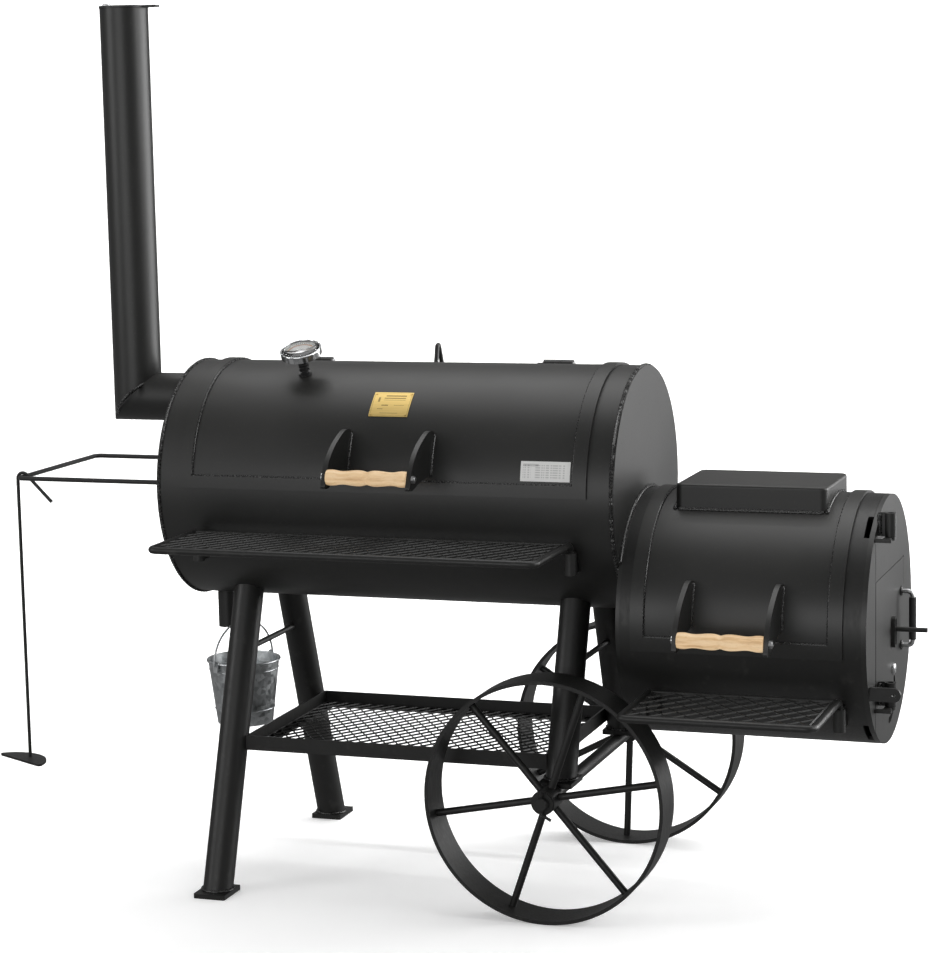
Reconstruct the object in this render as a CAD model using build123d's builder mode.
"""Offset smoker: a long cooking drum on four legs and two wheels, with a lower fire drum at its right end.

Millimetres. +X runs along the drums towards the fire door, +Y to the back, +Z up.
The origin is on the ground, below the middle of the whole smoker.
"""
from build123d import *
import math
import os

os.makedirs("parts", exist_ok=True)

# ---- driving dimensions -------------------------------------------------------------------------
DRUM_R = 203.2          # outside radius of the 16 inch pipe that both drums are cut from
WALL = 6.0              # wall of the pipe
END_PLATE = 6.0         # end discs of the drums
CHAMBER_LENGTH = 802.0
FIREBOX_LENGTH = 397.0  # without the fire door
CX, CY, CZ = 352.05, 52.76, 676.5    # right end of the chamber on its axis
FIRE_Z = CZ - 204.0     # axis of the fire drum, one radius lower
LEFT = CX - CHAMBER_LENGTH
DOOR_BACK = CX + FIREBOX_LENGTH + 0.4
DOOR_THICK = 8.0
DOOR_FACE = DOOR_BACK + DOOR_THICK

LID_GAP = 1.5           # cut between a lid and its drum
LID_LIFT = 0.4          # a lid stands this much proud of its drum
STRAP_THICK = 4.0       # flat bar around the lids, which covers the gap
HINGE_ANGLE = -26.5     # behind the top of the drum
HINGE_R = DRUM_R + 12.0
KNUCKLE_R = 9.0
PIN_R = 5.0
RUNNING = 0.05          # radial clearance of every shaft in its hole

WHEEL_R = 200.7
WHEEL_X = CX - 104.0
WHEEL_Y = 246.0         # middle of each wheel, either side of the drums' axis
WHEEL_WIDTH = 70.0
AXLE_R = 11.0
LEG_R = 25.5
SHELF_ROD_R = 6.0


def across(x, y=CY, z=CZ):
    """Plane across the drums: sketch x is the smoker's Y, sketch y its Z, and it extrudes to +X."""
    return Plane(origin=(x, y, z), x_dir=(0, 1, 0), z_dir=(1, 0, 0))


def facing(y, x=CX, z=CZ):
    """Plane facing the cook: sketch x is the smoker's X, sketch y its Z, and it extrudes to -Y."""
    return Plane(origin=(x, y, z), x_dir=(1, 0, 0), z_dir=(0, -1, 0))


def on_drum(angle, radius):
    """Sketch point at an angle from the top of a drum towards the cook."""
    return (-radius * math.sin(math.radians(angle)), radius * math.cos(math.radians(angle)))


def ring_piece(r_in, r_out, start, end, mode=Mode.ADD):
    """Piece of a ring between two angles from the top of a drum towards the cook."""
    with BuildLine(mode=Mode.PRIVATE) as outline:
        outer = CenterArc((0, 0), r_out, 90 + start, end - start)
        inner = CenterArc((0, 0), r_in, 90 + start, end - start)
        Line(outer @ 0, inner @ 0)
        Line(outer @ 1, inner @ 1)
    make_face(outline.edges(), mode=mode)


def rod(*points, radius, bend=None):
    """Round bar through the points, with each corner bent."""
    with BuildLine(mode=Mode.PRIVATE) as path:
        if bend:
            FilletPolyline(*points, radius=bend)
        else:
            Polyline(*points)
    start = path.edges().sort_by_distance(points[0])[0]
    along = Vector(*points[1]) - Vector(*points[0])
    with BuildSketch(Plane(origin=points[0], z_dir=along), mode=Mode.PRIVATE) as section:
        Circle(radius)
    sweep(sections=section.sketch, path=path.wire())


def save(part, name):
    part.label = name
    export_step(part, f"parts/{name}.step")


# ---- the two drums ------------------------------------------------------------------------------
CHAMBER_LID = dict(x0=CX - 746.0, x1=CX - 56.5, rear=-26.0, front=84.8, z=CZ)
FIREBOX_LID = dict(x0=CX + 35.0, x1=CX + 357.0, rear=-26.0, front=95.2, z=FIRE_Z)

DRAIN_X = CX - 770.0
DRAIN_R = 16.85
CHIMNEY_X = CX - 929.3
CHIMNEY_Z = CZ + 137.4
CHIMNEY_R = 42.0
CHIMNEY_WALL = 3.0
CHIMNEY_TOP = CZ + 813.5
FIRE_THROAT = (200.0, 104.0)    # opening between the drums
THROAT_Z = CZ - 98.0


def drum(x0, x1, z, lid):
    """Pipe with the opening for its lid."""
    with BuildSketch(across(x0, z=z)) as section:
        Circle(DRUM_R)
        Circle(DRUM_R - WALL, mode=Mode.SUBTRACT)
    extrude(section.sketch, amount=x1 - x0)
    with BuildSketch(across(lid["x0"], z=z)) as section:
        ring_piece(DRUM_R - 3 * WALL, DRUM_R + WALL, lid["rear"], lid["front"])
    extrude(section.sketch, amount=lid["x1"] - lid["x0"], mode=Mode.SUBTRACT)


with BuildPart() as chamber_shell:
    drum(LEFT + END_PLATE, CX - END_PLATE, CZ, CHAMBER_LID)
    with BuildSketch(Plane.XY.offset(CZ - DRUM_R - 1)):
        with Locations((DRAIN_X, CY)):
            Circle(DRAIN_R)
    extrude(amount=2 * WALL, mode=Mode.SUBTRACT)
save(chamber_shell.part, "chamber_shell")


def throat_plate(x, z):
    """End disc with the throat that the fire and smoke pass through."""
    with BuildSketch(across(x, z=z)) as section:
        Circle(DRUM_R)
        with Locations((0, THROAT_Z - z)):
            RectangleRounded(*FIRE_THROAT, 20, mode=Mode.SUBTRACT)
    extrude(section.sketch, amount=END_PLATE)


with BuildPart() as chamber_ends:
    with BuildSketch(across(LEFT)):
        Circle(DRUM_R)
        with Locations((0, CHIMNEY_Z - CZ)):
            Circle(CHIMNEY_R - CHIMNEY_WALL, mode=Mode.SUBTRACT)
    extrude(amount=END_PLATE)
    throat_plate(CX - END_PLATE, CZ)
save(chamber_ends.part, "chamber_ends")

with BuildPart() as firebox_inner_end:
    throat_plate(CX, FIRE_Z)
save(firebox_inner_end.part, "firebox_inner_end")

NOTCH = (136.4, 153.7)      # air gap cut in the rim under the fire door
RELIEF = (27.0, 41.0)       # room above for the door's hinge edge to swing in
with BuildPart() as firebox_shell:
    drum(CX + END_PLATE, CX + FIREBOX_LENGTH, FIRE_Z, FIREBOX_LID)
    for cut in (NOTCH, RELIEF):
        with BuildSketch(across(CX + FIREBOX_LENGTH - 9, z=FIRE_Z)) as section:
            ring_piece(DRUM_R - 2 * WALL, DRUM_R + WALL, *cut)
        extrude(section.sketch, amount=12, mode=Mode.SUBTRACT)
save(firebox_shell.part, "firebox_shell")


# ---- the two lids -------------------------------------------------------------------------------
EAR = 8.0                   # thickness of a handle's ears
HANDLE_LENGTH = 137.5
HANDLE_AT = (81.1, 291.5)   # angle and radius of the chamber handle's axis
HOT_PLATE = (250.0, 173.0)
HOT_PLATE_AT = (CX + 196.0, CY - 2.5)


def lid_plate(lid, hole=None):
    with BuildSketch(across(lid["x0"] + LID_GAP, z=lid["z"])) as section:
        ring_piece(DRUM_R - WALL + LID_LIFT, DRUM_R + LID_LIFT, lid["rear"] + 0.5, lid["front"] - 0.4)
    extrude(section.sketch, amount=lid["x1"] - lid["x0"] - 2 * LID_GAP)
    if hole:
        with BuildSketch(Plane.XY.offset(lid["z"])) as section:
            with Locations((CX + 200, CY)):
                RectangleRounded(*hole, 15)
        extrude(section.sketch, amount=2 * DRUM_R, mode=Mode.SUBTRACT)


def lid_strap(lid, left, right, front_in, front_out):
    """Flat bar welded round three edges of a lid, half of it over the drum."""
    base, top = DRUM_R + LID_LIFT, DRUM_R + LID_LIFT + STRAP_THICK
    with BuildSketch(across(left[0], z=lid["z"])) as section:
        ring_piece(base, top, lid["rear"] + 1.2, front_out)
    extrude(section.sketch, amount=right[1] - left[0])
    with BuildSketch(across(left[1], z=lid["z"])) as section:
        ring_piece(base - WALL, top + WALL, lid["rear"] - 4, front_in)
    extrude(section.sketch, amount=right[0] - left[1], mode=Mode.SUBTRACT)


def ears(x, z, tilt):
    """Two fin-shaped plates that hold a handle, tilted round the drum from the chamber's angle."""
    for start in (x, x + EAR + HANDLE_LENGTH):
        lean = math.radians(tilt)
        turned = Plane(origin=(start, CY, z), x_dir=(0, math.cos(lean), math.sin(lean)), z_dir=(1, 0, 0))
        with BuildSketch(turned) as section:
            hx, hz = on_drum(*HANDLE_AT)
            with BuildLine() as fin:
                top = on_drum(58.5, DRUM_R - 2)
                low = on_drum(79.0, DRUM_R - 2)
                outer = Spline(top, (hx + 92, hz + 67), (hx + 64, hz + 60), (hx + 18, hz + 34), (hx - 5, hz + 4),
                               (hx - 10, hz - 8), (hx + 4, hz - 18), tangents=((-1, 0.45), (1, 0.05)))
                ThreePointArc(outer @ 1, (hx + 48, hz - 8), low)
                Line(low, top)
            make_face()
            Circle(DRUM_R + LID_LIFT, mode=Mode.SUBTRACT)
            with Locations((hx, hz)):
                Circle(4.2, mode=Mode.SUBTRACT)
        extrude(section.sketch, amount=EAR)


def turned_grip(x, z, tilt):
    """Turned wooden grip: a raised collar at each end, two barrels and a notch between them."""
    angle, radius = HANDLE_AT
    y_off, z_off = on_drum(angle + tilt, radius)
    half = HANDLE_LENGTH / 2
    with BuildSketch(facing(CY + y_off, x + half, z + z_off)) as section:
        with BuildLine() as profile:
            side = Spline((-half, 12.4), (-half + 6, 13.0), (-half + 14, 12.6), (-half + 21, 11.4),
                          (-half + 40, 12.0), (-6, 12.0), (-1.5, 10.6))
            notch = Line(side @ 1, (1.5, 10.6))
            other = Spline(notch @ 1, (6, 12.0), (half - 40, 12.0), (half - 21, 11.4), (half - 14, 12.6),
                           (half - 6, 13.0), (half, 12.4))
            Polyline(other @ 1, (half, 4.3), (-half, 4.3), side @ 0)
        make_face()
    axis = Axis((x, CY + y_off, z + z_off), (1, 0, 0))
    revolve(section.sketch, axis=axis)


def handle_bolt(x, z, tilt):
    """Through bolt with a domed head at the left and a nut at the right."""
    angle, radius = HANDLE_AT
    y_off, z_off = on_drum(angle + tilt, radius)
    with BuildSketch(across(x - EAR - 1.5, CY + y_off, z + z_off)) as section:
        Circle(6.5)
    extrude(section.sketch, amount=1.5)
    with BuildSketch(across(x - EAR, CY + y_off, z + z_off)) as section:
        Circle(4)
    extrude(section.sketch, amount=HANDLE_LENGTH + 2 * EAR + 6)
    with BuildSketch(across(x + HANDLE_LENGTH + EAR, CY + y_off, z + z_off)) as section:
        RegularPolygon(6.8, 6)
    extrude(section.sketch, amount=4.5)


def knuckles(spots, z, length, leaf):
    """Hinge barrels along X behind the top of a drum, each with a leaf down to the metal it is welded to."""
    y_off, z_off = on_drum(HINGE_ANGLE, HINGE_R)
    for x in spots:
        with BuildSketch(across(x, z=z)) as section:
            ring_piece(leaf[0], DRUM_R + 5, leaf[1], leaf[2])
            with Locations((y_off, z_off)):
                Circle(KNUCKLE_R)
                Circle(PIN_R + RUNNING, mode=Mode.SUBTRACT)
        extrude(section.sketch, amount=length)


KNUCKLE = 30.0
FIXED_KNUCKLE = 21.0


def hinge_pins(spots, z):
    y_off, z_off = on_drum(HINGE_ANGLE, HINGE_R)
    for x in spots:
        with BuildSketch(across(x - 3, CY + y_off, z + z_off)) as section:
            Circle(PIN_R)
        extrude(section.sketch, amount=KNUCKLE + FIXED_KNUCKLE + 7)


def lid_stop(x, z, apex, feet):
    """Bent rod that an opened lid leans back on."""
    drum_z = [math.sqrt(DRUM_R**2 - y**2) - 2 for y in feet]
    rod((x, CY + feet[0], z + drum_z[0]), (x, CY + apex[0], z + apex[1]), (x, CY + feet[1], z + drum_z[1]),
        radius=4, bend=5)
    with BuildSketch(across(x - 10, z=z)) as section:
        Circle(DRUM_R)
    extrude(section.sketch, amount=20, mode=Mode.SUBTRACT)


LIDS = {
    "chamber": dict(lid=CHAMBER_LID, strap=((CX - 755.5, CX - 736.5), (CX - 68.0, CX - 45.0), 82.0, 87.6),
                    grip_x=CX - 455.5, tilt=0.0, hinges=(CX - 206.0, CX - 648.0), leaf=-16.0, hole=None,
                    stop=(CX - 405.0, (113.0, 233.0), (98.0, 160.0))),
    "firebox": dict(lid=FIREBOX_LID, strap=((CX + 25.0, CX + 46.0), (CX + 345.5, CX + 368.0), 92.0, 98.5),
                    grip_x=CX + 126.0, tilt=7.2, hinges=(CX + 90.0, CX + 250.0), leaf=-24.6,
                    hole=(200.0, 130.0), stop=(CX + 200.0, (143.0, 224.0), (124.0, 168.0))),
}

for name, spec in LIDS.items():
    z = spec["lid"]["z"]
    with BuildPart() as plate:
        lid_plate(spec["lid"], spec["hole"])
    save(plate.part, f"{name}_lid_plate")
    with BuildPart() as strap:
        lid_strap(spec["lid"], *spec["strap"])
        knuckles(spec["hinges"], z, KNUCKLE, (DRUM_R + LID_LIFT, -25.4, spec["leaf"]))
    save(strap.part, f"{name}_lid_strap")
    with BuildPart() as ear_pair:
        ears(spec["grip_x"] - EAR, z, spec["tilt"])
    save(ear_pair.part, f"{name}_handle_ears")
    with BuildPart() as grip:
        turned_grip(spec["grip_x"], z, spec["tilt"])
    save(grip.part, f"{name}_handle_grip")
    with BuildPart() as bolt:
        handle_bolt(spec["grip_x"], z, spec["tilt"])
    save(bolt.part, f"{name}_handle_bolt")

with BuildPart() as fixed_knuckles:
    for spec in LIDS.values():
        starts = [x + KNUCKLE + 1 for x in spec["hinges"]]
        knuckles(starts, spec["lid"]["z"], FIXED_KNUCKLE, (DRUM_R, -38.0, -27.0))
save(fixed_knuckles.part, "fixed_knuckles")

with BuildPart() as lid_hinge_pins:
    for spec in LIDS.values():
        hinge_pins(spec["hinges"], spec["lid"]["z"])
save(lid_hinge_pins.part, "lid_hinge_pins")

with BuildPart() as lid_stops:
    for spec in LIDS.values():
        lid_stop(spec["stop"][0], spec["lid"]["z"], spec["stop"][1], spec["stop"][2])
save(lid_stops.part, "lid_stops")

# Hollow hot plate over the hole in the fire drum's lid.
with BuildPart() as hot_plate:
    with BuildSketch(Plane.XY.offset(FIRE_Z + 150)):
        with Locations(HOT_PLATE_AT):
            RectangleRounded(*HOT_PLATE, 12)
    extrude(amount=75)
    fillet(hot_plate.faces().sort_by(Axis.Z)[-1].edges(), 5)
    with BuildSketch(Plane.XY.offset(FIRE_Z + 150)):
        with Locations(HOT_PLATE_AT):
            RectangleRounded(HOT_PLATE[0] - 8, HOT_PLATE[1] - 8, 8)
    extrude(amount=69, mode=Mode.SUBTRACT)
    with BuildSketch(across(CX, z=FIRE_Z)):
        Circle(DRUM_R + LID_LIFT)
    extrude(amount=FIREBOX_LENGTH, mode=Mode.SUBTRACT)
save(hot_plate.part, "hot_plate")


# ---- thermometer, plates ------------------------------------------------------------------------
GAUGE_X = CX - 577.0
GAUGE_ANGLE = 22.0
GAUGE_R = 35.0


def gauge_plane(radius):
    """Plane square to the stem, at a radius from the chamber's axis."""
    y_off, z_off = on_drum(GAUGE_ANGLE, radius)
    return Plane(origin=(GAUGE_X, CY + y_off, CZ + z_off), x_dir=(1, 0, 0), z_dir=(0, y_off, z_off))


def gauge_disc(radius, size, height, mode=Mode.ADD):
    with BuildSketch(gauge_plane(radius)) as section:
        Circle(size)
    extrude(section.sketch, amount=height, mode=mode)


with BuildPart() as thermometer:
    gauge_disc(DRUM_R - 56, 3, 60)
    gauge_disc(DRUM_R + LID_LIFT, 11, 4)
    gauge_disc(DRUM_R + 4, 6, 31)
    for step in range(4):
        gauge_disc(DRUM_R + 9 + 6 * step, 9, 3)
    gauge_disc(DRUM_R + 34, 25, 4)
    gauge_disc(DRUM_R + 38, GAUGE_R, 10)
    gauge_disc(DRUM_R + 43, GAUGE_R - 3, 5, Mode.SUBTRACT)
save(thermometer.part, "thermometer")

with BuildPart() as thermometer_dial:
    gauge_disc(DRUM_R + 43, GAUGE_R - 3.2, 0.8)
    gauge_disc(DRUM_R + 43.8, 2.5, 1.6)
    with BuildSketch(gauge_plane(DRUM_R + 44.6)):
        with Locations((6, 0)):
            Rectangle(30, 1.4)
    extrude(amount=0.6)
save(thermometer_dial.part, "thermometer_dial")

MAKER_PLATE = (CX - 433.0, CX - 364.5, 36.0, 50.6)
with BuildPart() as maker_plate:
    with BuildSketch(across(MAKER_PLATE[0])):
        ring_piece(DRUM_R + LID_LIFT, DRUM_R + LID_LIFT + 1, MAKER_PLATE[2], MAKER_PLATE[3])
    extrude(amount=MAKER_PLATE[1] - MAKER_PLATE[0])
    for x in (MAKER_PLATE[0] + 4, MAKER_PLATE[1] - 4):
        for angle in (MAKER_PLATE[2] + 1.1, MAKER_PLATE[3] - 1.1):
            y_off, z_off = on_drum(angle, DRUM_R + LID_LIFT + 0.6)
            with BuildSketch(Plane(origin=(x, CY + y_off, CZ + z_off), z_dir=(0, y_off, z_off))):
                Circle(1.8)
            extrude(amount=1.4)
save(maker_plate.part, "maker_plate")

with BuildPart() as care_label:
    with BuildSketch(across(CX - 156.7)):
        ring_piece(DRUM_R + LID_LIFT, DRUM_R + LID_LIFT + 0.4, 71.0, 80.2)
    extrude(amount=83.4)
save(care_label.part, "care_label")


# ---- fire door ----------------------------------------------------------------------------------
SEAM = -123.0                       # cut between the door and the fixed segment of the end disc
HINGE_LINE = -103.0                 # the door's hinge axis, in front of the drum's axis
DOOR_HINGE_X = DOOR_FACE + 20.0
BARRELS = ((152.0, 190.0), (-122.0, -83.0))     # heights of the hinge barrels from the drum's axis
SLOT = (24.0, -27.0, 46.0, 13.0)    # slider slot: across, up, length, width
VENT_R = 45.0
VENT_C = (0.0, -124.0)              # centre of the crescent air vent
PIVOT = (29.0, -89.0)
SLIDE_THICK = 4.0


with BuildPart() as firebox_end_segment:
    with BuildSketch(across(DOOR_BACK - 0.4, z=FIRE_Z)):
        Circle(DRUM_R)
        with Locations((SEAM - 0.2 + 300, 0)):
            Rectangle(600, 3 * DRUM_R, mode=Mode.SUBTRACT)
    extrude(amount=DOOR_THICK)
save(firebox_end_segment.part, "firebox_end_segment")

with BuildPart() as fire_door:
    with BuildSketch(across(DOOR_BACK, z=FIRE_Z)):
        Circle(DRUM_R)
        with Locations((SEAM + 0.2 - 150, 0)):
            Rectangle(300, 3 * DRUM_R, mode=Mode.SUBTRACT)
        with Locations((SLOT[0], SLOT[1])):
            SlotOverall(SLOT[2], SLOT[3], rotation=90, mode=Mode.SUBTRACT)
        with Locations(VENT_C):
            with BuildLine(mode=Mode.PRIVATE) as vent:
                CenterArc((VENT_C[0], VENT_C[1]), VENT_R, -95, 115)
        SlotArc(arc=vent.edges()[0], height=11, mode=Mode.SUBTRACT)
        with Locations(PIVOT):
            Circle(5.2, mode=Mode.SUBTRACT)
    extrude(amount=DOOR_THICK)
    # raised collar round the slot
    with BuildSketch(across(DOOR_FACE, z=FIRE_Z)):
        with Locations((SLOT[0], SLOT[1])):
            SlotOverall(SLOT[2] + 6, SLOT[3] + 6, rotation=90)
            SlotOverall(SLOT[2], SLOT[3], rotation=90, mode=Mode.SUBTRACT)
    extrude(amount=6)
    # narrow groove that outlines the inner heat shield
    with BuildSketch(across(DOOR_FACE - 1.2, z=FIRE_Z)):
        with Locations((4, 81)):
            Rectangle(250, 2)
        with Locations((130, 58)):
            Rectangle(1.4, 48)
        with Locations((SEAM + 1, -20)):
            Rectangle(1.2, 200)
    extrude(amount=2, mode=Mode.SUBTRACT)
save(fire_door.part, "fire_door")

# The barrels are welded to the door, and turn on pins that the fixed segment carries on short arms.
with BuildPart() as door_barrels:
    for low, high in BARRELS:
        with BuildSketch(Plane.XY.offset(FIRE_Z + low)):
            with Locations((DOOR_HINGE_X, CY + HINGE_LINE)):
                Circle(KNUCKLE_R)
            with Locations(((DOOR_FACE + DOOR_HINGE_X) / 2, CY + HINGE_LINE + 4)):
                Rectangle(DOOR_HINGE_X - DOOR_FACE, 7)
            with Locations((DOOR_HINGE_X, CY + HINGE_LINE)):
                Circle(PIN_R + RUNNING, mode=Mode.SUBTRACT)
        extrude(amount=high - low)
save(door_barrels.part, "door_barrels")

with BuildPart() as door_hinge_pins:
    for low, high in BARRELS:
        with BuildSketch(Plane.XY.offset(FIRE_Z + low - 5)):
            with Locations((DOOR_HINGE_X, CY + HINGE_LINE)):
                Circle(PIN_R)
        extrude(amount=high - low + 3)
        with BuildSketch(Plane.XY.offset(FIRE_Z + low - 5.5)):
            with Locations((DOOR_HINGE_X, CY + HINGE_LINE)):
                Circle(8)
            with Locations((DOOR_HINGE_X - 3, CY + HINGE_LINE - 14)):
                Rectangle(12, 30)
            with Locations((DOOR_FACE + 12.8, CY + SEAM - 5.5)):
                Rectangle(26.4, 10)
        extrude(amount=5)
save(door_hinge_pins.part, "door_hinge_pins")

with BuildPart() as side_bar:
    with BuildSketch(facing(CY - 174, DOOR_FACE - 0.4, FIRE_Z - 87)):
        with Locations((19.5, 0)):
            Rectangle(39, 22)
        with Locations((39, 0)):
            Circle(11)
            Circle(3, mode=Mode.SUBTRACT)
    extrude(amount=6)
save(side_bar.part, "side_bar")

HANDLE_Y = 101.0
HANDLE_X = DOOR_FACE + 20.0
with BuildPart() as door_handle:
    rod((DOOR_FACE, CY + HANDLE_Y, FIRE_Z + 27), (HANDLE_X, CY + HANDLE_Y, FIRE_Z + 27),
        (HANDLE_X, CY + HANDLE_Y, FIRE_Z - 64), (DOOR_FACE, CY + HANDLE_Y, FIRE_Z - 64),
        radius=4, bend=8)
save(door_handle.part, "door_handle")

with BuildPart() as door_grip:
    with BuildSketch(Plane.XY.offset(FIRE_Z - 54)):
        with Locations((HANDLE_X, CY + HANDLE_Y)):
            Circle(6.2)
            Circle(4.1, mode=Mode.SUBTRACT)
    extrude(amount=71)
save(door_grip.part, "door_grip")

SLIDE_X = DOOR_BACK - 0.5 - SLIDE_THICK
with BuildPart() as air_slide:
    with BuildSketch(across(SLIDE_X, z=FIRE_Z)):
        with Locations((14, -82)):
            Rectangle(108, 152)
        with Locations((PIVOT[0], PIVOT[1] + 5)):
            SlotOverall(50, 10.6, rotation=90, mode=Mode.SUBTRACT)
        with Locations((25, -135)):
            Rectangle(52, 22, mode=Mode.SUBTRACT)
    extrude(amount=SLIDE_THICK)
    with BuildSketch(across(SLIDE_X + SLIDE_THICK, CY + SLOT[0], FIRE_Z - 22)):
        Circle(4)
    extrude(amount=DOOR_THICK + 0.5 + 57.5)
save(air_slide.part, "air_slide")

with BuildPart() as pivot_bolt:
    with BuildSketch(across(SLIDE_X - 12, CY + PIVOT[0], FIRE_Z + PIVOT[1])):
        Circle(5)
    extrude(amount=12 + SLIDE_THICK + 0.5 + DOOR_THICK + 1)
    with BuildSketch(across(DOOR_FACE, CY + PIVOT[0], FIRE_Z + PIVOT[1])):
        Circle(9)
    extrude(amount=5)
    fillet(pivot_bolt.faces().sort_by(Axis.X)[-1].edges(), 4)
    with BuildSketch(across(SLIDE_X - 3, CY + PIVOT[0], FIRE_Z + PIVOT[1])):
        Circle(11)
    extrude(amount=2.5)
    with BuildSketch(across(SLIDE_X - 11, CY + PIVOT[0], FIRE_Z + PIVOT[1])):
        RegularPolygon(8.5, 6)
    extrude(amount=8)
save(pivot_bolt.part, "pivot_bolt")


# ---- chimney ------------------------------------------------------------------------------------
with BuildPart() as chimney_pipe:
    with BuildSketch(Plane.XY.offset(CHIMNEY_Z - CHIMNEY_R)):
        with Locations((CHIMNEY_X, CY)):
            Circle(CHIMNEY_R)
            Circle(CHIMNEY_R - CHIMNEY_WALL, mode=Mode.SUBTRACT)
    extrude(amount=CHIMNEY_TOP - CHIMNEY_Z + CHIMNEY_R)
    split(bisect_by=Plane(origin=(CHIMNEY_X, CY, CHIMNEY_Z), z_dir=(-1, 0, 1)))
save(chimney_pipe.part, "chimney_pipe")

with BuildPart() as chimney_elbow:
    with BuildSketch(across(CHIMNEY_X - CHIMNEY_R, z=CHIMNEY_Z)):
        Circle(CHIMNEY_R)
        Circle(CHIMNEY_R - CHIMNEY_WALL, mode=Mode.SUBTRACT)
    extrude(amount=LEFT - CHIMNEY_X + CHIMNEY_R)
    split(bisect_by=Plane(origin=(CHIMNEY_X, CY, CHIMNEY_Z), z_dir=(1, 0, -1)))
save(chimney_elbow.part, "chimney_elbow")

CAP_PIVOT_X = CHIMNEY_X - 33.0
with BuildPart() as cap_pivot:
    with BuildSketch(Plane.XY.offset(CHIMNEY_TOP - 26)):
        with Locations((CAP_PIVOT_X, CY)):
            Circle(6)
    extrude(amount=25.5)
    with BuildSketch(Plane.XY.offset(CHIMNEY_TOP - 1)):
        with Locations((CAP_PIVOT_X, CY)):
            Circle(4)
    extrude(amount=7)
    with BuildSketch(Plane.XY.offset(CHIMNEY_TOP + 4.8)):
        with Locations((CAP_PIVOT_X, CY)):
            Circle(7)
    extrude(amount=4)
    fillet(cap_pivot.faces().sort_by(Axis.Z)[-1].edges(), 2)
save(cap_pivot.part, "cap_pivot")

with BuildPart() as chimney_cap:
    with BuildSketch(Plane.XY.offset(CHIMNEY_TOP + 0.4)):
        with Locations((CHIMNEY_X, CY)):
            Circle(CHIMNEY_R + 1)
        with Locations((CHIMNEY_X + CHIMNEY_R + 6, CY)):
            RectangleRounded(36, 22, 8)
        with Locations((CAP_PIVOT_X, CY)):
            Circle(4 + RUNNING, mode=Mode.SUBTRACT)
    extrude(amount=4)
save(chimney_cap.part, "chimney_cap")


# ---- grates and what they rest on ---------------------------------------------------------------
def rails(x0, x1, z, level, reach):
    """Flat bars along both inner walls of a drum."""
    for side in (-1, 1):
        with BuildSketch(across(x0, z=z)) as section:
            with Locations((side * (reach + 30), level - 2)):
                Rectangle(60, 4)
            Circle(DRUM_R - WALL, mode=Mode.INTERSECT)
        extrude(section.sketch, amount=x1 - x0)


def grate(x0, x1, z, half, pitch, bar):
    """Welded grate: round bars front to back on three cross bars, lying on the rails at z."""
    middle = (x0 + x1) / 2
    count = int((x1 - x0 - 2 * bar) / pitch)
    for y in (-half + bar, 0, half - bar):
        with BuildSketch(across(x0, CY + y, z + bar)) as section:
            Circle(bar)
        extrude(section.sketch, amount=x1 - x0)
    with BuildSketch(facing(CY + half, middle, z + 2.2 * bar)) as section:
        with GridLocations((x1 - x0 - 2 * bar) / count, 1, count + 1, 1):
            Circle(bar)
    extrude(section.sketch, amount=2 * half)


CHAMBER_GRATE_Z = CZ - 22.0
FIRE_GRATE_Z = FIRE_Z - 97.0
GRILL_Z = FIRE_Z - 46.0

with BuildPart() as grate_rails:
    rails(LEFT + END_PLATE, CX - END_PLATE, CZ, CHAMBER_GRATE_Z - CZ, 178)
    rails(CX + END_PLATE, CX + FIREBOX_LENGTH - 8, FIRE_Z, FIRE_GRATE_Z - FIRE_Z, 150)
    rails(CX + END_PLATE, CX + FIREBOX_LENGTH - 8, FIRE_Z, GRILL_Z - FIRE_Z, 174)
save(grate_rails.part, "grate_rails")

with BuildPart() as cooking_grates:
    for x0 in (CX - 740, CX - 400):
        grate(x0, x0 + 338, CHAMBER_GRATE_Z, 188, 26, 4)
save(cooking_grates.part, "cooking_grates")

with BuildPart() as fire_grate:
    grate(CX + 15, CX + 370, FIRE_GRATE_Z, 160, 28, 6)
save(fire_grate.part, "fire_grate")

with BuildPart() as grill_grate:
    grate(CX + 42, CX + 350, GRILL_Z, 182, 26, 4)
save(grill_grate.part, "grill_grate")

with BuildPart() as drain_tube:
    with BuildSketch(Plane.XY.offset(CZ - 269)):
        with Locations((DRAIN_X, CY)):
            Circle(DRAIN_R)
            Circle(DRAIN_R - 3, mode=Mode.SUBTRACT)
    extrude(amount=269 - DRUM_R + WALL)
save(drain_tube.part, "drain_tube")


# ---- legs, wheels and bottom shelf --------------------------------------------------------------
SPLAY = 167.0 / 476.0       # how far a leg leans out for each millimetre down
LEG_TOP = (90.0, -192.0)    # where a leg's axis meets the drum, from the drum's axis
LEFT_LEG_X = CX - 689.0
RIGHT_LEG_X = CX - 101.0
FOOT = (57.0, 69.0, 8.0)
AXLE_Z = WHEEL_R
PLATE_TOP = AXLE_Z + AXLE_R + FOOT[2]


def leg_y(z):
    """Distance of a leg's axis from the middle of the smoker, at a height above the ground."""
    return LEG_TOP[0] + (CZ + LEG_TOP[1] - z) * SPLAY


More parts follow.
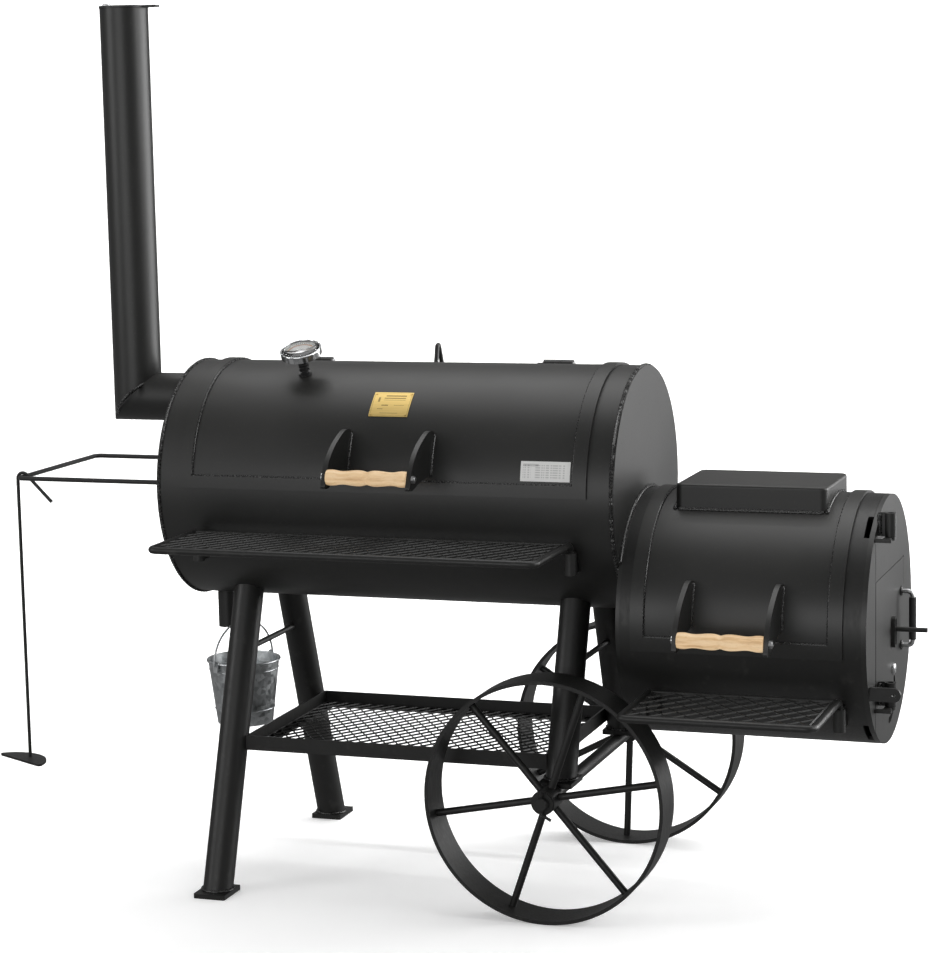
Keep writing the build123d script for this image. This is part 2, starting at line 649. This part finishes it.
def leg(x, side, bottom):
    """Splayed tube, cut level at its foot and round to the drum at its top."""
    low = bottom - 20
    foot = (x, CY + side * leg_y(low), low)
    lean = (0, -side * SPLAY, 1)
    with BuildSketch(Plane(origin=foot, z_dir=lean)) as section:
        Circle(LEG_R)
        Circle(LEG_R - 3, mode=Mode.SUBTRACT)
    extrude(section.sketch, amount=(CZ - 120 - low) * math.hypot(1, SPLAY))
    with BuildSketch(Plane.XY.offset(bottom)) as section:
        with Locations((x, CY + side * leg_y(bottom))):
            Rectangle(150, 150)
    extrude(section.sketch, amount=-60, mode=Mode.SUBTRACT)
    with BuildSketch(across(x - 40)) as section:
        Circle(DRUM_R)
    extrude(section.sketch, amount=80, mode=Mode.SUBTRACT)


ROD_Z = CZ - 286.0
with BuildPart() as legs:
    for x, bottom in ((LEFT_LEG_X, FOOT[2]), (RIGHT_LEG_X, PLATE_TOP)):
        for side in (-1, 1):
            leg(x, side, bottom)
        half = leg_y(ROD_Z) - LEG_R
        with BuildSketch(Plane(origin=(x, CY - half, ROD_Z), x_dir=(1, 0, 0), z_dir=(0, 1, 0))):
            Circle(5)
        extrude(amount=2 * half)
save(legs.part, "legs")

with BuildPart() as foot_plates:
    for x, low in ((LEFT_LEG_X, 0), (RIGHT_LEG_X, PLATE_TOP - FOOT[2])):
        with BuildSketch(Plane.XY.offset(low)):
            with Locations((x, CY - leg_y(low) - 2), (x, CY + leg_y(low) + 2)):
                RectangleRounded(FOOT[0], FOOT[1], 3)
        extrude(amount=FOOT[2])
save(foot_plates.part, "foot_plates")

SHELF_TOP = CZ - 420.0
SHELF_X = (LEFT_LEG_X + LEG_R, RIGHT_LEG_X - LEG_R)
SHELF_HALF = 180.0
ANGLE = 25.0
with BuildPart() as bottom_shelf_frame:
    with BuildSketch(Plane.XY.offset(SHELF_TOP - ANGLE)):
        with Locations(((SHELF_X[0] + SHELF_X[1]) / 2, CY)):
            Rectangle(SHELF_X[1] - SHELF_X[0], 2 * SHELF_HALF)
            Rectangle(SHELF_X[1] - SHELF_X[0] - 6, 2 * SHELF_HALF - 6, mode=Mode.SUBTRACT)
    extrude(amount=ANGLE)
    with BuildSketch(Plane.XY.offset(SHELF_TOP - ANGLE)):
        with Locations(((SHELF_X[0] + SHELF_X[1]) / 2, CY)):
            Rectangle(SHELF_X[1] - SHELF_X[0] - 6, 2 * SHELF_HALF - 6)
            Rectangle(SHELF_X[1] - SHELF_X[0] - 2 * ANGLE, 2 * (SHELF_HALF - ANGLE), mode=Mode.SUBTRACT)
    extrude(amount=3)
save(bottom_shelf_frame.part, "bottom_shelf_frame")

with BuildPart() as bottom_shelf_mesh:
    with BuildSketch(Plane.XY.offset(SHELF_TOP - ANGLE + 3)):
        with Locations(((SHELF_X[0] + SHELF_X[1]) / 2, CY)):
            Rectangle(SHELF_X[1] - SHELF_X[0] - 7, 2 * SHELF_HALF - 7)
    extrude(amount=4)
save(bottom_shelf_mesh.part, "bottom_shelf_mesh")

HUB = (228.0, 276.0)        # from and to, from the middle of the smoker
with BuildPart() as axle:
    with BuildSketch(Plane(origin=(WHEEL_X, CY - 291, AXLE_Z), x_dir=(1, 0, 0), z_dir=(0, 1, 0))):
        Circle(AXLE_R)
    extrude(amount=582)
    chamfer(axle.faces().filter_by(Axis.Y).edges(), 1.5)
    for side in (-1, 1):
        with BuildSketch(Plane.XY.offset(AXLE_Z - 20)):
            with Locations((WHEEL_X, CY + side * 284)):
                Circle(2.6)
        extrude(amount=40, mode=Mode.SUBTRACT)
save(axle.part, "axle")

with BuildPart() as axle_retainers:
    for side in (-1, 1):
        for start, size in ((HUB[1] + 0.5, 18), (HUB[0] - 3.0, 15)):
            y = CY + side * (start + 1.25) - 1.25
            with BuildSketch(Plane(origin=(WHEEL_X, y, AXLE_Z), x_dir=(1, 0, 0), z_dir=(0, 1, 0))):
                Circle(size)
                Circle(AXLE_R, mode=Mode.SUBTRACT)
            extrude(amount=2.5)
        y = CY + side * 284
        rod((WHEEL_X, y, AXLE_Z + 19), (WHEEL_X, y, AXLE_Z - 17), (WHEEL_X + 17, y + side * 5, AXLE_Z - 24),
            radius=2.5, bend=5)
save(axle_retainers.part, "axle_retainers")


def wheel_plane(side, offset):
    return Plane(origin=(WHEEL_X, CY + side * WHEEL_Y + offset, AXLE_Z), x_dir=(1, 0, 0), z_dir=(0, -1, 0))


for name, side, turn in (("front", -1, 10.9), ("rear", 1, 27.6)):
    with BuildPart() as rim:
        with BuildSketch(wheel_plane(side, WHEEL_WIDTH / 2)):
            Circle(WHEEL_R)
            Circle(WHEEL_R - WALL, mode=Mode.SUBTRACT)
        extrude(amount=WHEEL_WIDTH)
    save(rim.part, f"{name}_wheel_rim")
    with BuildPart() as centre:
        start = CY + (side * (HUB[0] + HUB[1]) + HUB[1] - HUB[0]) / 2
        for step in range(6):
            angle = math.radians(turn + 60 * step)
            way = (math.cos(angle), 0, math.sin(angle))
            root = (WHEEL_X + 17 * way[0], CY + side * WHEEL_Y, AXLE_Z + 17 * way[2])
            with BuildSketch(Plane(origin=root, x_dir=(0, 1, 0), z_dir=way)):
                Circle(6)
            extrude(amount=WHEEL_R - WALL - 17 - 0.1)
        with BuildSketch(Plane(origin=(WHEEL_X, start, AXLE_Z), x_dir=(1, 0, 0), z_dir=(0, -1, 0))):
            Circle(20)
        extrude(amount=HUB[1] - HUB[0])
        with BuildSketch(Plane(origin=(WHEEL_X, start, AXLE_Z), x_dir=(1, 0, 0), z_dir=(0, -1, 0))):
            Circle(AXLE_R + RUNNING)
        extrude(amount=HUB[1] - HUB[0], mode=Mode.SUBTRACT)
    save(centre.part, f"{name}_wheel_spokes")


# ---- front shelves, side rack -------------------------------------------------------------------
PLUG = 42.0


def shelf_frame(x0, x1, back, front, top):
    """Round bar bent round three sides, with its ends turned down as plugs, and a back bar."""
    z = top - SHELF_ROD_R
    rod((x0, back, z - PLUG), (x0, back, z), (x0, front, z), (x1, front, z), (x1, back, z),
        (x1, back, z - PLUG), radius=SHELF_ROD_R, bend=13)
    with BuildSketch(across(x0, back - 16, z)) as section:
        Circle(SHELF_ROD_R - 1)
    extrude(section.sketch, amount=x1 - x0)


def sockets(x0, x1, back, top, z):
    """Short upright tubes welded to a drum, which take the plugs of its shelf."""
    for x in (x0, x1):
        with BuildSketch(Plane.XY.offset(top - 2 * SHELF_ROD_R - 9 - PLUG + 8)) as section:
            with Locations((x, back)):
                Circle(10)
            with Locations((x, back + 25)):
                Rectangle(8, 50)
        extrude(section.sketch, amount=PLUG - 6)
        with BuildSketch(Plane.XY.offset(top - 100)) as section:
            with Locations((x, back)):
                Circle(SHELF_ROD_R + RUNNING)
        extrude(section.sketch, amount=100, mode=Mode.SUBTRACT)
    with BuildSketch(across(x0 - 20, z=z)) as section:
        Circle(DRUM_R)
    extrude(section.sketch, amount=x1 - x0 + 40, mode=Mode.SUBTRACT)


SHELVES = {
    "chamber": dict(x0=CX - 726, x1=CX - 72, back=CY - 207, front=CY - 396, top=CZ - 60, z=CZ),
    "firebox": dict(x0=CX + 58, x1=CX + 362, back=CY - 199, front=CY - 396, top=CZ - 294, z=FIRE_Z),
}
for name, s in SHELVES.items():
    with BuildPart() as frame:
        shelf_frame(s["x0"], s["x1"], s["back"], s["front"], s["top"])
    save(frame.part, f"{name}_shelf_frame")
    with BuildPart() as mesh:
        with BuildSketch(Plane.XY.offset(s["top"] - 4)):
            with Locations(((s["x0"] + s["x1"]) / 2, (s["back"] - 16 + s["front"]) / 2)):
                RectangleRounded(s["x1"] - s["x0"] - 2 * SHELF_ROD_R,
                                 s["back"] - 17 - s["front"] - 2 * SHELF_ROD_R, 8)
        extrude(amount=3)
    save(mesh.part, f"{name}_shelf_mesh")

with BuildPart() as shelf_sockets:
    for s in SHELVES.values():
        sockets(s["x0"], s["x1"], s["back"], s["top"], s["z"])
save(shelf_sockets.part, "shelf_sockets")

RACK_Z = CZ + 7.0
RACK_X = CX - 1093.5
RACK_HALF = 150.0
with BuildPart() as side_rack:
    rod((LEFT, CY - RACK_HALF, RACK_Z), (RACK_X, CY - RACK_HALF, RACK_Z), (RACK_X, CY + RACK_HALF, RACK_Z),
        (LEFT, CY + RACK_HALF, RACK_Z), radius=4, bend=10)
save(side_rack.part, "side_rack")


# ---- ash rake, bucket ---------------------------------------------------------------------------
RAKE_Y = CY - RACK_HALF + 17
RAKE_LOW = CZ - 497.0
HOOK_R = 10.0
HOOK_Z = RACK_Z - 2.7       # the hook hangs on the rack's bar with a hair of play
with BuildPart() as ash_rake:
    tip = HOOK_R / math.sqrt(2)
    with BuildLine(mode=Mode.PRIVATE) as shank:
        up = Line((RACK_X - HOOK_R, RAKE_Y, RAKE_LOW), (RACK_X - HOOK_R, RAKE_Y, HOOK_Z))
        over = ThreePointArc(up @ 1, (RACK_X - tip, RAKE_Y, HOOK_Z + tip), (RACK_X + tip, RAKE_Y, HOOK_Z + tip))
        Line(over @ 1, (RACK_X + tip + 47, RAKE_Y, HOOK_Z + tip - 47))
    with BuildSketch(Plane(origin=(RACK_X - HOOK_R, RAKE_Y, RAKE_LOW)), mode=Mode.PRIVATE) as round_bar:
        Circle(3)
    sweep(sections=round_bar.sketch, path=shank.wire())
    # half-round blade, with its straight edge towards the cook
    with BuildSketch(Plane(origin=(RACK_X - HOOK_R, RAKE_Y, RAKE_LOW - 2), x_dir=(0.879, -0.477, 0))):
        with BuildLine():
            edge = Line((-64, -24), (64, -24))
            ThreePointArc(edge @ 1, (0, 20), edge @ 0)
        make_face()
        fillet(vertices(), 5)
    extrude(amount=4)
save(ash_rake.part, "ash_rake")

BUCKET_X = CX - 743.0
RIM_Z = CZ - 327.0
BUCKET_LOW = CZ - 440.0
BUCKET_TOP_R = 63.0
BUCKET_LOW_R = 49.0
EAR_WAY = Vector(math.cos(math.radians(67)), math.sin(math.radians(67)), 0)
SWING_WAY = Vector(-EAR_WAY.Y, EAR_WAY.X, 0)
EAR_Z = RIM_Z - 2.0
BAIL_R = 70.4
HOOK_WIRE = 2.0
BAIL_WIRE = 1.75


def bucket_point(along, sideways, z):
    """Point near the bucket, measured along the line of its ears and square to it."""
    return Vector(BUCKET_X, CY, z) + EAR_WAY * along + SWING_WAY * sideways


with BuildPart() as bucket:
    with BuildSketch(Plane(origin=(BUCKET_X, CY, 0), x_dir=(1, 0, 0), z_dir=(0, -1, 0))):
        with BuildLine():
            Polyline((0, BUCKET_LOW + 4), (BUCKET_LOW_R - 0.5, BUCKET_LOW + 4), (BUCKET_LOW_R - 1, BUCKET_LOW),
                     (BUCKET_LOW_R, BUCKET_LOW), (BUCKET_TOP_R, RIM_Z), (BUCKET_TOP_R - 1.5, RIM_Z),
                     (BUCKET_LOW_R - 1, BUCKET_LOW + 5.5), (0, BUCKET_LOW + 5.5), (0, BUCKET_LOW + 4))
        make_face()
        with Locations((BUCKET_TOP_R + 0.5, RIM_Z - 0.5)):
            Circle(2.2)
    revolve(axis=Axis((BUCKET_X, CY, 0), (0, 0, 1)))
    for side in (-1, 1):
        base = bucket_point(side * (BUCKET_TOP_R + 3.2), 0, EAR_Z)
        with BuildSketch(Plane(origin=base, x_dir=SWING_WAY * side, z_dir=EAR_WAY * side)):
            Circle(7)
            with Locations((0, -8)):
                Rectangle(10, 10)
            Circle(BAIL_WIRE + RUNNING, mode=Mode.SUBTRACT)
        extrude(amount=2)
        with BuildSketch(Plane(origin=base, x_dir=SWING_WAY * side, z_dir=EAR_WAY * side)):
            with Locations((0, -9)):
                Circle(3.5)
        extrude(amount=-5)
save(bucket.part, "bucket")

BAIL_TOP = EAR_Z + BAIL_R
with BuildPart() as bucket_bail:
    with BuildLine(mode=Mode.PRIVATE) as arch:
        ThreePointArc(bucket_point(-BAIL_R, 0, EAR_Z), bucket_point(0, 0, BAIL_TOP), bucket_point(BAIL_R, 0, EAR_Z))
    with BuildSketch(Plane(origin=bucket_point(-BAIL_R, 0, EAR_Z), x_dir=SWING_WAY, z_dir=(0, 0, 1)),
                     mode=Mode.PRIVATE) as wire_section:
        Circle(BAIL_WIRE)
    sweep(sections=wire_section.sketch, path=arch.wire())
    for side in (-1, 1):
        with BuildSketch(Plane(origin=bucket_point(side * (BAIL_R + BAIL_WIRE), 0, EAR_Z), x_dir=SWING_WAY,
                               z_dir=EAR_WAY * -side)):
            Circle(BAIL_WIRE)
        extrude(amount=BAIL_R + BAIL_WIRE - BUCKET_TOP_R - 2.9)
save(bucket_bail.part, "bucket_bail")

HOOK_BEND = 4.5
with BuildPart() as bucket_hook:
    seat = BAIL_TOP + HOOK_BEND - BAIL_WIRE - HOOK_WIRE - 0.3
    with BuildLine(mode=Mode.PRIVATE) as hook_line:
        shaft = Line(bucket_point(0, HOOK_BEND, CZ - DRUM_R + 1), bucket_point(0, HOOK_BEND, seat))
        turn = ThreePointArc(shaft @ 1, bucket_point(0, 0, seat - HOOK_BEND), bucket_point(0, -HOOK_BEND, seat))
        Line(turn @ 1, bucket_point(0, -HOOK_BEND, seat + 7))
    with BuildSketch(Plane(origin=bucket_point(0, HOOK_BEND, CZ - DRUM_R + 1), z_dir=(0, 0, -1)),
                     mode=Mode.PRIVATE) as wire:
        Circle(HOOK_WIRE)
    sweep(sections=wire.sketch, path=hook_line.wire())
    with BuildSketch(across(BUCKET_X - 20)):
        Circle(DRUM_R)
    extrude(amount=40, mode=Mode.SUBTRACT)
save(bucket_hook.part, "bucket_hook")
